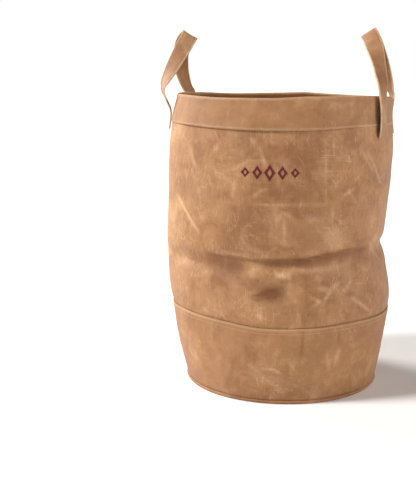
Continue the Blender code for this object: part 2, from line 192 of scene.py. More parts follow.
# One crease or soft dent: azimuths in degrees, heights, width and depth in metres, and how much
# it lightens the colour along it, or darkens it where negative. A positive value on a groove is
# pale rubbed wax and on a ridge a painted highlight. A negative value on a groove is painted
# shade, and rows with no depth are plain darker or paler patches.
Crease = namedtuple("Crease", "start_azimuth start_height end_azimuth end_height width depth wear")
CREASES = (
    Crease(-50.9, 0.374, -32.8, 0.312, 0.0035, 0.0006, 0.75),
    Crease(-39.4, 0.461, -34.3, 0.428, 0.004, 0.0004, 0.45),
    Crease(-23.0, 0.460, -20.0, 0.471, 0.005, 0.0004, 0.50),
    Crease(-3.9, 0.485, -1.4, 0.477, 0.004, 0.0005, 0.50),
    Crease(1.0, 0.469, 4.0, 0.438, 0.004, 0.0006, 0.45),
    Crease(-12.0, 0.432, -4.3, 0.447, 0.0035, 0.0004, 0.40),
    Crease(-4.3, 0.447, 3.5, 0.446, 0.0035, 0.0004, 0.35),
    Crease(-1.7, 0.385, 1.7, 0.394, 0.004, 0.0005, 0.55),
    Crease(1.7, 0.394, 5.6, 0.400, 0.004, 0.0005, 0.45),
    Crease(-12.5, 0.381, -10.9, 0.411, 0.004, 0.0004, 0.40),
    Crease(-4.0, 0.371, 33.6, 0.371, 0.0030, 0.0005, 0.40),
    Crease(32.3, 0.486, 33.1, 0.372, 0.0030, 0.0004, 0.25),
    Crease(9.5, 0.344, 12.8, 0.357, 0.0035, 0.0005, 0.22),
    Crease(12.8, 0.357, 17.1, 0.348, 0.0035, 0.0005, 0.38),
    Crease(13.0, 0.350, 13.4, 0.318, 0.0030, 0.0005, 0.30),
    Crease(58.0, 0.456, 70.5, 0.399, 0.0035, 0.0005, 0.45),
    Crease(53.6, 0.462, 62.4, 0.421, 0.0035, 0.0004, 0.35),
    Crease(42.7, 0.384, 49.1, 0.396, 0.0035, 0.0004, 0.40),
    Crease(44.9, 0.394, 52.7, 0.365, 0.0035, 0.0004, 0.30),
    Crease(36.8, 0.364, 37.0, 0.332, 0.0030, 0.0004, 0.35),
    Crease(12.9, 0.334, 13.5, 0.299, 0.0030, 0.0004, 0.35),
    # The waist fold and the grooves under its lip: their dark values are painted shade.
    Crease(-30.0, 0.261, -18.0, 0.257, 0.0160, 0.0012, -0.75),
    Crease(-18.0, 0.257, -7.0, 0.254, 0.0160, 0.0012, -0.80),
    Crease(-29.0, 0.2725, -9.6, 0.2685, 0.0035, 0.0018, -0.35),
    Crease(-9.6, 0.2685, 3.0, 0.2665, 0.0030, 0.0018, -0.35),
    Crease(2.0, 0.2630, 16.0, 0.2650, 0.0080, 0.0014, -0.85),
    Crease(16.0, 0.2650, 28.0, 0.2690, 0.0090, 0.0014, -0.90),
    Crease(28.0, 0.2690, 40.0, 0.2740, 0.0100, 0.0016, -0.85),
    Crease(40.0, 0.2740, 52.0, 0.2765, 0.0105, 0.0016, -0.75),
    Crease(52.0, 0.2765, 68.0, 0.2730, 0.0090, 0.0014, -0.55),
    Crease(3.0, 0.2690, 16.0, 0.2705, 0.0018, 0.0008, -0.60),
    Crease(16.0, 0.2705, 27.0, 0.2752, 0.0018, 0.0008, -0.60),
    Crease(27.0, 0.2752, 37.0, 0.2812, 0.0020, 0.0008, -0.60),
    Crease(37.0, 0.2812, 50.0, 0.2840, 0.0022, 0.0010, -0.60),
    Crease(50.0, 0.2840, 66.0, 0.2780, 0.0022, 0.0010, -0.50),
    # Lips and a bulge above the waist fold: their pale values are painted highlights.
    Crease(-20.0, 0.2810, -4.0, 0.2765, 0.0045, -0.0012, 0.40),
    Crease(-4.0, 0.2765, 12.0, 0.2760, 0.0045, -0.0010, 0.25),
    Crease(12.0, 0.2770, 34.0, 0.2860, 0.0050, -0.0010, 0.15),
    Crease(1.0, 0.2600, -5.0, 0.2400, 0.0090, -0.0020, 0.35),
    Crease(18.0, 0.2520, 52.0, 0.2600, 0.0050, -0.0008, 0.30),
    # The dent under the waist: painted shade along its grooves, and a painted highlight on the
    # ridge in the last row.
    Crease(-0.5, 0.2100, 15.5, 0.2120, 0.0220, 0.0036, -0.90),
    Crease(4.0, 0.2080, 10.0, 0.2120, 0.0100, 0.0008, -0.35),
    Crease(-3.5, 0.2040, 3.5, 0.2105, 0.0026, 0.0012, -0.40),
    Crease(-1.5, 0.1990, 3.0, 0.2010, 0.0022, 0.0010, -0.40),
    Crease(-4.5, 0.2100, 1.0, 0.2140, 0.0030, -0.0008, 0.35),
    # Pale creases in the wax.
    Crease(7.9, 0.256, 10.9, 0.243, 0.0040, 0.0006, 0.55),
    Crease(10.9, 0.243, 16.6, 0.240, 0.0040, 0.0006, 0.55),
    Crease(10.9, 0.243, 18.5, 0.253, 0.0040, 0.0006, 0.35),
    Crease(65.4, 0.291, 74.4, 0.273, 0.0040, 0.0012, 0.35),
    Crease(74.4, 0.273, 81.5, 0.246, 0.0040, 0.0012, 0.35),
    Crease(37.3, 0.217, 42.3, 0.228, 0.0035, 0.0006, 0.55),
    Crease(37.3, 0.217, 33.7, 0.196, 0.0035, 0.0006, 0.45),
    Crease(31.0, 0.219, 37.3, 0.217, 0.0035, 0.0006, 0.45),
    Crease(47.1, 0.217, 50.8, 0.230, 0.0035, 0.0006, 0.50),
    Crease(47.1, 0.217, 42.5, 0.209, 0.0035, 0.0006, 0.35),
    Crease(27.0, 0.205, 34.3, 0.191, 0.0035, 0.0006, 0.50),
    Crease(25.2, 0.182, 31.6, 0.197, 0.0035, 0.0005, 0.45),
    Crease(49.8, 0.197, 62.8, 0.165, 0.0035, 0.0006, 0.50),
    Crease(1.8, 0.184, 2.4, 0.162, 0.0035, 0.0005, 0.45),
    Crease(20.8, 0.179, 21.8, 0.157, 0.0035, 0.0005, 0.35),
    Crease(1.1, 0.069, 9.5, 0.071, 0.0025, 0.0003, 0.45),
    Crease(6.6, 0.073, 13.0, 0.062, 0.0025, 0.0003, 0.45),
    # Two grooves low on the wall, darkened with painted shade.
    Crease(23.4, 0.142, 22.2, 0.088, 0.0045, 0.0022, -0.15),
    Crease(42.5, 0.136, 43.2, 0.117, 0.0030, 0.0022, -0.45),
    # Pale creases in the wax.
    Crease(44.5, 0.103, 42.4, 0.075, 0.0040, 0.0004, 0.45),
    Crease(36.5, 0.101, 39.0, 0.065, 0.0040, 0.0004, 0.30),
    Crease(16.8, 0.083, 21.3, 0.062, 0.0035, 0.0004, 0.30),
    # Rows with no depth: plain darker or paler patches.
    Crease(20.9, 0.455, 29.5, 0.374, 0.0200, 0.0000, -0.25),
    Crease(-17.0, 0.459, -5.0, 0.451, 0.0140, 0.0000, -0.25),
    Crease(2.6, 0.465, 27.6, 0.454, 0.0180, 0.0000, -0.25),
    Crease(-6.0, 0.392, 28.0, 0.390, 0.0170, 0.0000, -0.30),
    Crease(-10.7, 0.312, -4.3, 0.355, 0.0170, 0.0000, -0.35),
    Crease(17.5, 0.359, 28.3, 0.354, 0.0140, 0.0000, -0.25),
    Crease(16.8, 0.322, 28.9, 0.308, 0.0160, 0.0000, -0.30),
    Crease(6.0, 0.358, 11.0, 0.332, 0.0150, 0.0000, 0.25),
    Crease(13.6, 0.184, 31.3, 0.174, 0.0150, 0.0000, -0.30),
    Crease(28.8, 0.256, 47.4, 0.252, 0.0100, 0.0000, 0.20),
    Crease(-36.0, 0.440, -30.0, 0.350, 0.0260, 0.0000, 0.20),
    Crease(-11.1, 0.490, -5.0, 0.482, 0.0130, 0.0000, -0.30),
    Crease(-5.6, 0.367, 0.9, 0.350, 0.0150, 0.0000, -0.30),
    Crease(-20.0, 0.306, -15.0, 0.300, 0.0140, 0.0000, -0.30),
    # Pale creases round the sides and back.
    Crease(110.0, 0.420, 132.0, 0.350, 0.0040, 0.0006, 0.45),
    Crease(150.0, 0.470, 168.0, 0.330, 0.0040, 0.0005, 0.40),
    Crease(-150.0, 0.440, -128.0, 0.380, 0.0040, 0.0006, 0.45),
    Crease(-110.0, 0.350, -88.0, 0.300, 0.0040, 0.0006, 0.45),
    Crease(-165.0, 0.230, -140.0, 0.200, 0.0040, 0.0006, 0.45),
    Crease(120.0, 0.210, 138.0, 0.190, 0.0040, 0.0006, 0.45),
)


def crease_shapes(azimuth, height):
    """Every crease's share at each place, 1 along its line and 0 away from it."""
    for crease in CREASES:
        start = np.array([radians(crease.start_azimuth) * CLOTH_RADIUS, crease.start_height])
        run = np.array([radians(crease.end_azimuth) * CLOTH_RADIUS, crease.end_height]) - start
        across = np.stack([azimuth * CLOTH_RADIUS, height], axis=-1) - start
        along = np.clip(across @ run / (run @ run), 0.0, 1.0)
        away = np.linalg.norm(across - along[:, None] * run, axis=1)
        ends = 0.35 + 0.65 * np.sin(pi * along) ** 0.5
        yield crease, np.exp(-((away / crease.width) ** 2)) * ends


def relief(azimuth, height):
    """How far the creases, small sags and the back seam move the cloth out."""
    moved = np.zeros_like(azimuth)
    for crease, share in crease_shapes(azimuth, height):
        moved -= crease.depth * share
    outward = np.stack([np.sin(azimuth), -np.cos(azimuth), height / CLOTH_RADIUS], axis=-1)
    for scale, depth in ((2.6, 0.0016), (6.5, 0.0007), (15.0, 0.00025)):
        sags = [noise.noise(Vector(place) * scale) for place in outward.tolist()]
        moved += depth * np.array(sags)
    band = height - around(BAND_LINE, azimuth)
    moved -= BAND_PINCH * np.exp(-((band / TURNED_WIDTH) ** 2))
    from_seam = (pi - np.abs(azimuth)) * CLOTH_RADIUS / SEAM_WIDTH
    moved += SEAM_RIDGE * np.clip(2.5 - 2.5 * from_seam, 0.0, 1.0)
    return moved


def cloth_places(azimuth, height, offset):
    """Points on the cloth, at an offset outside the wall's outer face."""
    radius = cloth_reach(azimuth, height) + relief(azimuth, height) + offset
    return np.stack([radius * np.sin(azimuth), -radius * np.cos(azimuth), height], axis=-1)


def link(name, mesh):
    """Turn a bmesh into a smooth-shaded object at the origin."""
    data = bpy.data.meshes.new(name)
    mesh.to_mesh(data)
    mesh.free()
    data.shade_smooth()
    item = bpy.data.objects.new(name, data)
    bpy.context.scene.collection.objects.link(item)
    return item


def sew_ring(name, segments, rows, places):
    """Roll a ring of cloth and lay it by places(azimuth, share up the ring) -> points, marks of
    wear and painted light.
    """
    mesh = bmesh.new()
    bmesh.ops.create_cone(
        mesh, cap_ends=False, segments=segments, radius1=1.0, radius2=1.0, depth=1.0
    )
    upright = [edge for edge in mesh.edges if abs(edge.verts[0].co.z - edge.verts[1].co.z) > 0.5]
    bmesh.ops.subdivide_edges(mesh, edges=upright, cuts=rows - 1, use_grid_fill=True)
    item = link(name, mesh)
    data = item.data
    spots = np.empty(len(data.vertices) * 3)
    data.vertices.foreach_get("co", spots)
    spots = spots.reshape(-1, 3)
    azimuth = np.arctan2(spots[:, 0], -spots[:, 1])
    azimuth = azimuth - FRONT_DENSITY * np.sin(azimuth)
    points, drop, wear_light_and_shade = places(azimuth, spots[:, 2] + 0.5)
    data.vertices.foreach_set("co", points.ravel())
    corner = np.empty(len(data.loops), dtype=int)
    data.loops.foreach_get("vertex_index", corner)
    turn = azimuth[corner].reshape(-1, 4)
    behind = turn.max(axis=1, keepdims=True) - turn.min(axis=1, keepdims=True) > pi
    turn = np.where(behind & (turn < 0), turn + 2 * pi, turn)
    pattern = np.stack([turn.ravel() * CLOTH_RADIUS, drop[corner]], axis=-1)
    layer = data.uv_layers.new(name="cloth")
    layer.uv.foreach_set("vector", pattern.ravel())
    mark = data.attributes.new("wear", "FLOAT", "POINT")
    mark.data.foreach_set("value", wear_light_and_shade)
    data.update()
    return item


def thicken(item, thickness, side):
    """Give a cloth skin its thickness, outside it for side 1 and inside for -1."""
    solidify = item.modifiers.new("cloth thickness", "SOLIDIFY")
    solidify.thickness = thickness
    solidify.offset = side
    solidify.use_even_offset = True


def crease_wear_light_and_shade(azimuth, height):
    """How much the creases lighten the colour, with pale rubbed wax and painted highlights, or
    darken it where negative, with painted shade in grooves and plain darker patches where flat.
    """
    wear_light_and_shade = np.zeros_like(azimuth)
    for crease, share in crease_shapes(azimuth, height):
        wear_light_and_shade += crease.wear * share
    return wear_light_and_shade


def wall_places(azimuth, share):
    top = around(WALL_TOP, azimuth) - 0.0004
    height = SEAM_HEIGHT + (top - SEAM_HEIGHT) * share
    wear_light_and_shade = crease_wear_light_and_shade(azimuth, height)
    return cloth_places(azimuth, height, 0.0), height, wear_light_and_shade


# Lengths of the canvas's grain, the painted shade in folds, grooves and the inside of the rim as
# shares of the dark tone, and the pale of rubbed wax, which also serves for painted highlights.
THREAD_PAIR = 0.0011
SLUB_LENGTH = 0.011
STREAK_WIDTH = 0.0020
STREAK_LENGTH = 0.050
BUMP_DEPTH = 0.0012
PAINTED_FOLD_SHADE = (0.60, 0.48, 0.36, 1.0)
RUBBED_WAX_AND_HIGHLIGHT = (0.620, 0.395, 0.225, 1.0)


def waxed_canvas(name, tones, wear_and_highlight_tone, rub):
    """Waxed canvas: mottled wax, pale marks where it was rubbed or folded, painted shade and
    painted highlights from a mesh attribute, and a plain weave.

    tones are the dark, middle and light colours of the wax, then the pale of a crease, which also
    serves for painted highlights, and rub how much of the cloth the marks cover.
    """
    material = bpy.data.materials.new(name)
    material.use_nodes = True
    nodes = material.node_tree.nodes
    wire = material.node_tree.links.new
    surface = nodes["Principled BSDF"]
    surface.inputs["Sheen Weight"].default_value = 0.03
    surface.inputs["Sheen Roughness"].default_value = 0.45
    surface.inputs["Specular IOR Level"].default_value = 0.48
    surface.inputs["Specular Tint"].default_value = (1.0, 0.90, 0.79, 1.0)

    def add(kind, **settings):
        node = nodes.new(kind)
        for key, value in settings.items():
            setattr(node, key, value)
        return node

    def sum_up(operation, first, second, clamp=False):
        node = add("ShaderNodeMath", operation=operation, use_clamp=clamp)
        for socket, value in zip(node.inputs, (first, second)):
            if isinstance(value, (int, float)):
                socket.default_value = value
            else:
                wire(value, socket)
        return node.outputs[0]

    def mottle(source, scale, detail, roughness, distortion=0.0):
        node = add("ShaderNodeTexNoise")
        node.inputs["Scale"].default_value = scale
        node.inputs["Detail"].default_value = detail
        node.inputs["Roughness"].default_value = roughness
        node.inputs["Distortion"].default_value = distortion
        wire(source, node.inputs["Vector"])
        return node.outputs["Fac"]

    def spread(source, low, high, low_out=0.0, high_out=1.0):
        node = add("ShaderNodeMapRange")
        node.interpolation_type = "SMOOTHSTEP"
        node.inputs["From Min"].default_value = low
        node.inputs["From Max"].default_value = high
        node.inputs["To Min"].default_value = low_out
        node.inputs["To Max"].default_value = high_out
        wire(source, node.inputs["Value"])
        return node.outputs["Result"]

    def blend(share, first, second, mode="MIX"):
        node = add("ShaderNodeMix", data_type="RGBA", blend_type=mode, clamp_factor=True)
        sockets = (node.inputs[0], node.inputs[6], node.inputs[7])
        for socket, value in zip(sockets, (share, first, second)):
            if isinstance(value, (int, float, tuple)):
                socket.default_value = value
            else:
                wire(value, socket)
        return node.outputs[2]

    place = add("ShaderNodeTexCoord").outputs["Object"]
    pattern = add("ShaderNodeUVMap", uv_map="cloth").outputs["UV"]
    wear = add("ShaderNodeAttribute", attribute_name="wear").outputs["Fac"]

    def streaks(turn, width, length, distortion=0.3):
        """Noise drawn out along one direction of the cloth, in degrees from the vertical."""
        lay = add("ShaderNodeMapping", vector_type="TEXTURE")
        lay.inputs["Rotation"].default_value = (0.0, 0.0, radians(turn))
        lay.inputs["Scale"].default_value = (width, length, 1.0)
        wire(pattern, lay.inputs["Vector"])
        return mottle(lay.outputs[0], 1.0, 2.0, 0.5, distortion)

    dark, middle, light = tones
    broad = mottle(place, 8.0, 4.0, 0.55, 0.5)
    patchy = mottle(place, 26.0, 4.0, 0.60, 0.7)
    fine = mottle(place, 120.0, 3.0, 0.6)
    warp = streaks(0.0, STREAK_WIDTH, STREAK_LENGTH)
    weft = streaks(90.0, STREAK_WIDTH, STREAK_LENGTH)
    tone = sum_up("ADD", sum_up("MULTIPLY", broad, 0.55), sum_up("MULTIPLY", patchy, 0.45))
    for grain, share in ((fine, 0.16), (warp, 0.13), (weft, 0.10)):
        tone = sum_up("ADD", tone, sum_up("MULTIPLY", sum_up("SUBTRACT", grain, 0.5), share))
    color = blend(spread(tone, 0.37, 0.52), dark, middle)
    color = blend(spread(tone, 0.52, 0.63), color, light)
    amber = spread(mottle(place, 5.5, 2.0, 0.5), 0.44, 0.58)
    color = blend(sum_up("MULTIPLY", amber, 0.9), color, (0.99, 0.975, 0.90, 1.0), "MULTIPLY")
    stain = spread(mottle(place, 19.0, 5.0, 0.58, 1.0), 0.50, 0.56)
    color = blend(sum_up("MULTIPLY", stain, 0.30), color, dark)

    # Rubbed marks: thin pale strokes in four directions, each in patches of its own, with a few
    # fine cracks in the wax and a haze round them.
    marks = []
    for turn, patch_scale in ((6.0, 17.0), (-24.0, 19.0), (38.0, 21.0), (84.0, 15.0)):
        stroke = spread(streaks(turn, 0.0030, 0.026, 0.6), 0.57, 0.70)
        patch = spread(mottle(place, patch_scale, 3.0, 0.6), 0.66 - rub, 0.78 - rub)
        marks.append(sum_up("MULTIPLY", stroke, patch))
    strokes = marks[0]
    for mark in marks[1:]:
        strokes = sum_up("MAXIMUM", strokes, mark)
    bend = add("ShaderNodeTexNoise")
    bend.inputs["Scale"].default_value = 16.0
    bend.inputs["Detail"].default_value = 3.0
    wire(place, bend.inputs["Vector"])
    bent = add("ShaderNodeVectorMath", operation="MULTIPLY_ADD")
    bent.inputs[1].default_value = (0.05, 0.05, 0.05)
    wire(bend.outputs["Color"], bent.inputs[0])
    wire(place, bent.inputs[2])
    net = add("ShaderNodeTexVoronoi", feature="DISTANCE_TO_EDGE")
    net.inputs["Scale"].default_value = 34.0
    wire(bent.outputs[0], net.inputs["Vector"])
    crackle = spread(net.outputs["Distance"], 0.0, 0.05, 1.0, 0.0)
    cracked = spread(mottle(place, 12.0, 3.0, 0.6), 0.72 - rub, 0.86 - rub)
    crackle = sum_up("MULTIPLY", crackle, cracked)
    haze = spread(mottle(place, 15.0, 4.0, 0.62, 0.8), 0.52, 0.72)
    pale = sum_up("ADD", sum_up("MULTIPLY", strokes, 0.38), sum_up("MULTIPLY", haze, 0.30))
    pale = sum_up("ADD", pale, sum_up("MULTIPLY", crackle, 0.22))
    # Where the attribute is positive it adds pale rubbed wax and painted highlights.
    pale = sum_up("ADD", pale, sum_up("MULTIPLY", sum_up("MAXIMUM", wear, 0.0), 1.0), True)
    pale = sum_up("MULTIPLY", pale, spread(sum_up("ADD", fine, warp), 0.70, 1.15, 0.55, 1.0))
    color = blend(pale, color, wear_and_highlight_tone)
    # Where the attribute is negative it blends in painted shade, a darker copy of the dark tone.
    painted_shade_share = sum_up("MULTIPLY", wear, -1.0, True)
    shadow = [level * share for level, share in zip(dark, PAINTED_FOLD_SHADE)]
    color = blend(painted_shade_share, color, tuple(shadow))

    # Weave: over and under threads, half a millimetre apart, with slubs along them.
    threads = add("ShaderNodeVectorMath", operation="MULTIPLY")
    threads.inputs[1].default_value = (2 * pi / THREAD_PAIR, 2 * pi / THREAD_PAIR, 0.0)
    wire(pattern, threads.inputs[0])
    split = add("ShaderNodeSeparateXYZ")
    wire(threads.outputs[0], split.inputs[0])
    warp_wave = sum_up("SINE", split.outputs[0], 0.0)
    weft_wave = sum_up("SINE", split.outputs[1], 0.0)
    weave = sum_up("MULTIPLY", warp_wave, weft_wave)
    warp_slubs = streaks(0.0, THREAD_PAIR, SLUB_LENGTH)
    weft_slubs = streaks(90.0, THREAD_PAIR, SLUB_LENGTH)
    slubs = sum_up("MAXIMUM", warp_slubs, weft_slubs)
    color = blend(sum_up("MULTIPLY", spread(slubs, 0.50, 0.75), 0.12), color, light)
    wire(color, surface.inputs["Base Color"])

    height = sum_up("MULTIPLY", weave, 0.10)
    raised = ((slubs, 0.14), (strokes, -0.20), (crackle, -0.30), (patchy, 0.30), (fine, 0.25))
    for layer, share in raised:
        height = sum_up("ADD", height, sum_up("MULTIPLY", layer, share))
    bump = add("ShaderNodeBump")
    bump.inputs["Distance"].default_value = BUMP_DEPTH
    bump.inputs["Strength"].default_value = 0.6
    wire(height, bump.inputs["Height"])
    wire(bump.outputs["Normal"], surface.inputs["Normal"])
    wire(spread(tone, 0.35, 0.65, 0.50, 0.68), surface.inputs["Roughness"])
    return material


WALL_CANVAS = waxed_canvas(
    "wall_canvas",
    ((0.255, 0.107, 0.040, 1.0), (0.362, 0.176, 0.076, 1.0), (0.455, 0.252, 0.122, 1.0)),
    RUBBED_WAX_AND_HIGHLIGHT,
    0.16,
)

wall = sew_ring("wall_cloth", WALL_SEGMENTS, WALL_ROWS, wall_places)
thicken(wall, WALL_THICKNESS, -1)
wall.data.materials.append(WALL_CANVAS)
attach(wall, "root")
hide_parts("wall")

# The rim band: a strip of the same canvas folded over the wall's top edge and sewn through, so
# that it makes a smooth stiff hem with one leg outside and one inside.
BAND_THICKNESS = 0.0012
OUTER_SKIN = 0.0003
INNER_SKIN = -0.0021
HEM_LIFT = 0.0012
LIFT_SPREAD = 0.7
BAND_SEGMENTS = 320
RIM_ROWS = 36
LEG_SHARE = 0.47


def band_relief(azimuth, height):
    """The stiff band evens out the cloth's small creases."""
    outward = np.stack([np.sin(azimuth), -np.cos(azimuth), height / CLOTH_RADIUS], axis=-1)
    sags = np.array([noise.noise(Vector(place) * 3.1) for place in outward.tolist()])
    dimples = np.array([noise.noise(Vector(place) * 11.0) for place in outward.tolist()])
    return 0.0012 * sags + 0.0004 * dimples


def rim_places(azimuth, share):
    hem = around(HEM_LINE, azimuth)
    turn_radius = (OUTER_SKIN - INNER_SKIN) / 2
    top = around(RIM_TOP, azimuth) - BAND_THICKNESS - turn_radius
    outside = np.clip(share / LEG_SHARE, 0.0, 1.0)
    over = np.clip((share - LEG_SHARE) / (1 - 2 * LEG_SHARE), 0.0, 1.0)
    inside = np.clip((share - 1 + LEG_SHARE) / LEG_SHARE, 0.0, 1.0)
    height = hem + (top - hem) * (outside - inside) + turn_radius * np.sin(pi * over)
    offset = (OUTER_SKIN + INNER_SKIN) / 2 + turn_radius * np.cos(pi * over)
    near_hem = np.exp(-(((height - hem) / 0.006) ** 2)) * (over <= 0)
    front = np.exp(-((azimuth / LIFT_SPREAD) ** 2))
    offset = offset + HEM_LIFT * near_hem * front
    radius = cloth_reach(azimuth, np.minimum(height, top)) + band_relief(azimuth, height) + offset
    points = np.stack([radius * np.sin(azimuth), -radius * np.cos(azimuth), height], axis=-1)
    # Pale lines along the hem and the top fold are painted highlight where the folds catch the
    # light, with worn wax. The inside leg is darkened with painted shade.
    wear_light_and_shade = 0.55 * np.exp(-(((height - hem - 0.0012) / 0.0018) ** 2)) * (over <= 0)
    wear_light_and_shade += 0.40 * np.exp(-(((height - top - turn_radius) / 0.0025) ** 2))
    wear_light_and_shade -= 0.45 * (inside > 0.04)
    return points, height + 0.2 * over, wear_light_and_shade


BAND_CANVAS = waxed_canvas(
    "band_canvas",
    ((0.258, 0.111, 0.042, 1.0), (0.330, 0.158, 0.067, 1.0), (0.395, 0.208, 0.095, 1.0)),
    RUBBED_WAX_AND_HIGHLIGHT,
    0.04,
)

rim_band = sew_ring("rim_band_cloth", BAND_SEGMENTS, RIM_ROWS, rim_places)
thicken(rim_band, BAND_THICKNESS, 1)
rim_band.data.materials.append(BAND_CANVAS)
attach(rim_band, "root")
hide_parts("rim_band")

# The lower band: a second layer of canvas round the foot of the wall, its top edge turned under
# and sewn down with two rows, its bottom edge caught in the base seam.
LOWER_ROWS = 40


def lower_places(azimuth, share):
    top = around(BAND_LINE, azimuth)
    height = SEAM_HEIGHT + (top - SEAM_HEIGHT) * share
    below = top - height
    fold = TURNED_LIFT * np.exp(-((below / TURNED_WIDTH) ** 2))
    wear_light_and_shade = crease_wear_light_and_shade(azimuth, height)
    # A pale line under the turned top edge is a painted highlight, and the foot above the base
    # seam is darkened with painted shade.
    wear_light_and_shade += 0.50 * np.exp(-(((below - 0.0015) / 0.0022) ** 2))
    wear_light_and_shade -= 0.25 * np.exp(-(((height - SEAM_HEIGHT) / 0.003) ** 2))
    return cloth_places(azimuth, height, OUTER_SKIN + fold), height + 0.7, wear_light_and_shade


lower_band = sew_ring("lower_band_cloth", BAND_SEGMENTS, LOWER_ROWS, lower_places)
thicken(lower_band, BAND_THICKNESS, 1)
LOWER_CANVAS = waxed_canvas(
    "lower_canvas",
    ((0.254, 0.108, 0.041, 1.0), (0.340, 0.164, 0.070, 1.0), (0.410, 0.220, 0.104, 1.0)),
    RUBBED_WAX_AND_HIGHLIGHT,
    0.10,
)
lower_band.data.materials.append(LOWER_CANVAS)
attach(lower_band, "root")
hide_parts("lower_band")

# The base: a round panel of doubled canvas whose edge is rolled up round the wall and the lower
# band, so that it shows as a narrow roll along the floor.
LIP_HEIGHT = 0.0070
PANEL_THICKNESS = 0.0020
BASE_SEGMENTS = 192
# Round the roll from the middle of the top to the middle of the underside: the share of the
# radius kept, the step out from the wall's face, and the height.
RollStep = namedtuple("RollStep", "share out height")
ROLL = (
    RollStep(0.00, 0.0000, PANEL_THICKNESS),
    RollStep(0.50, 0.0000, PANEL_THICKNESS),
    RollStep(0.90, 0.0000, PANEL_THICKNESS),
    RollStep(1.00, -0.0030, PANEL_THICKNESS),
    RollStep(1.00, -0.0021, 0.0060),
    RollStep(1.00, -0.0012, LIP_HEIGHT),
    RollStep(1.00, 0.0006, LIP_HEIGHT),
    RollStep(1.00, 0.0019, 0.0062),
    RollStep(1.00, 0.0024, 0.0042),
    RollStep(1.00, 0.0018, 0.0020),
    RollStep(1.00, 0.0002, 0.0006),
    RollStep(1.00, -0.0020, 0.0000),
    RollStep(0.90, 0.0000, 0.0000),
    RollStep(0.50, 0.0000, 0.0000),
    RollStep(0.00, 0.0000, 0.0000),
)

base_mesh = bmesh.new()
bmesh.ops.create_circle(base_mesh, segments=BASE_SEGMENTS, radius=1.0)
ring = base_mesh.edges[:]
for index, step in enumerate(ROLL):
    if index:
        raised = bmesh.ops.extrude_edge_only(base_mesh, edges=ring)["geom"]
        ring = [edge for edge in raised if isinstance(edge, bmesh.types.BMEdge)]
        ring = [edge for edge in ring if len(edge.link_faces) == 1]
    for vert in {vert for edge in ring for vert in edge.verts}:
        azimuth = np.arctan2(vert.co.x, -vert.co.y)
        foot = float(cloth_reach(azimuth, SEAM_HEIGHT))
        radius = max(foot * step.share, 0.002) + step.out
        vert.co = (radius * np.sin(azimuth), -radius * np.cos(azimuth), step.height)
ends = [edge for edge in base_mesh.edges if len(edge.link_faces) == 1]
bmesh.ops.holes_fill(base_mesh, edges=ends, sides=0)
bmesh.ops.recalc_face_normals(base_mesh, faces=base_mesh.faces)
base_pattern = base_mesh.loops.layers.uv.new("cloth")
for face in base_mesh.faces:
    for corner in face.loops:
        corner[base_pattern].uv = (corner.vert.co.x, corner.vert.co.y + corner.vert.co.z)
base = link("base_panel", base_mesh)
base.data.materials.append(LOWER_CANVAS)
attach(base, "root")
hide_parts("base")

# The handles: each is a strip of canvas folded in four and sewn along both edges. Its feet are
# sewn flat to the rim band, and its loop twists edge-up so that a hand finds it.
STRAP_WIDTH = 0.032
STRAP_THICKNESS = 0.0032
STRAP_STEPS = 150
STITCH_INSET = 0.0030
# The CAD strap's mesh has straight lines across its back face, one strap width long, and the
# cloth strap runs through them. A line at a foot's end may keep only its two corners.
SAME_POINT = 3e-5
FACE_REACH = 0.004
STRAIGHT_AHEAD = 0.99
STATIONS = 16


def lines_across(spots):
    """Middle and direction of each line across a strap, and whether it has points between."""
    gaps = np.linalg.norm(spots[:, None] - spots[None], axis=2)
    lines, whole = [], []
    for pair in np.argwhere(np.triu(np.abs(gaps - STRAP_WIDTH) < SAME_POINT)):
        start, end = spots[pair]
        between = start + (end - start) * np.array([[0.25], [0.5], [0.75]])
        away = np.linalg.norm(spots[:, None] - between[None], axis=2).min(axis=0)
        lines.append(np.concatenate([between[1], (end - start) / STRAP_WIDTH]))
        whole.append(away.max() < SAME_POINT)
    return np.array(lines), np.array(whole)


def turned_like(line, row):
    """The line with its direction across turned the same way as a row's."""
    return np.concatenate([line[:3], line[3:] * np.sign(line[3:] @ row[3:])])


def end_line(lines, row, before):
    """The line straight ahead of a strap's last row, as a list that is empty if there is none."""
    step = row[:3] - before[:3]
    away = lines[:, :3] - row[:3]
    reach = np.linalg.norm(away, axis=1)
    ahead = away @ step / np.maximum(reach * np.linalg.norm(step), 1e-9)
    ahead[(reach < FACE_REACH) | (reach > 2 * np.linalg.norm(step))] = 0.0
    return [turned_like(lines[ahead.argmax()], row)] if ahead.max() > STRAIGHT_AHEAD else []


